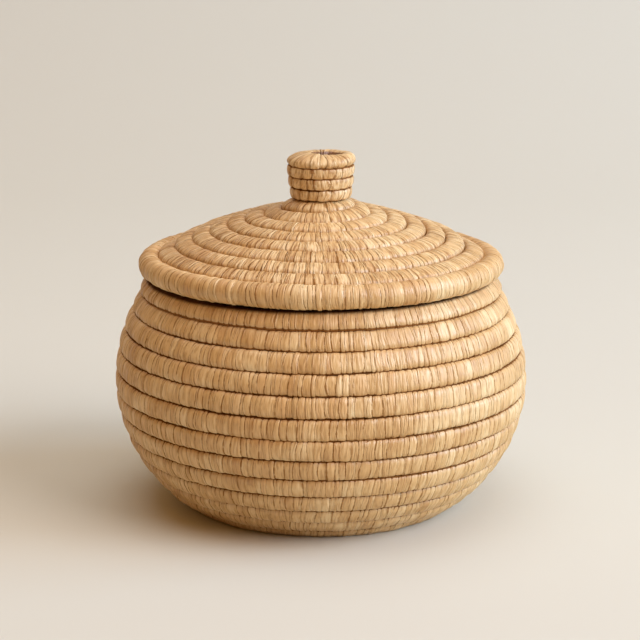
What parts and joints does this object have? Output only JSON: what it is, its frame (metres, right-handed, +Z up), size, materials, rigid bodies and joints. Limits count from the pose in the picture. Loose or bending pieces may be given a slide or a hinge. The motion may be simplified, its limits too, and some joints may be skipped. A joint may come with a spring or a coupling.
{
  "type": "lidded basket",
  "caption": "Round coiled basket with a bulging wall, a lift-off conical lid with a thick rim roll, and a small coiled knob.",
  "frame": {"origin": "on the basket's axis, in the floor plane it stands on", "axes": "+Z up along the axis, -Y the front as seen in the picture, +X to the right in the picture; the coils climb and end at the back, +Y"},
  "size_m": [0.2454, 0.2454, 0.2106],
  "materials": {
    "base_raffia": "matt bound raffia",
    "wall_raffia": "matt bound raffia",
    "lid_raffia": "matt bound raffia"
  },
  "bodies": {
    "basket": {"base_coil": "base_raffia", "wall_coil": "wall_raffia", "mouth_coil": "wall_raffia"},
    "lid": {"lid_coil": "lid_raffia", "lid_rim_coil": "lid_raffia", "lid_flange_coil": "base_raffia", "knob_coil": "lid_raffia", "knob_top_coil": "lid_raffia"}
  },
  "joints": [
    {"name": "lid_lift", "type": "slide", "parent": "basket", "child": "lid", "axis": [0, 0, 1], "range_m": [0, 0.12]}
  ]
}
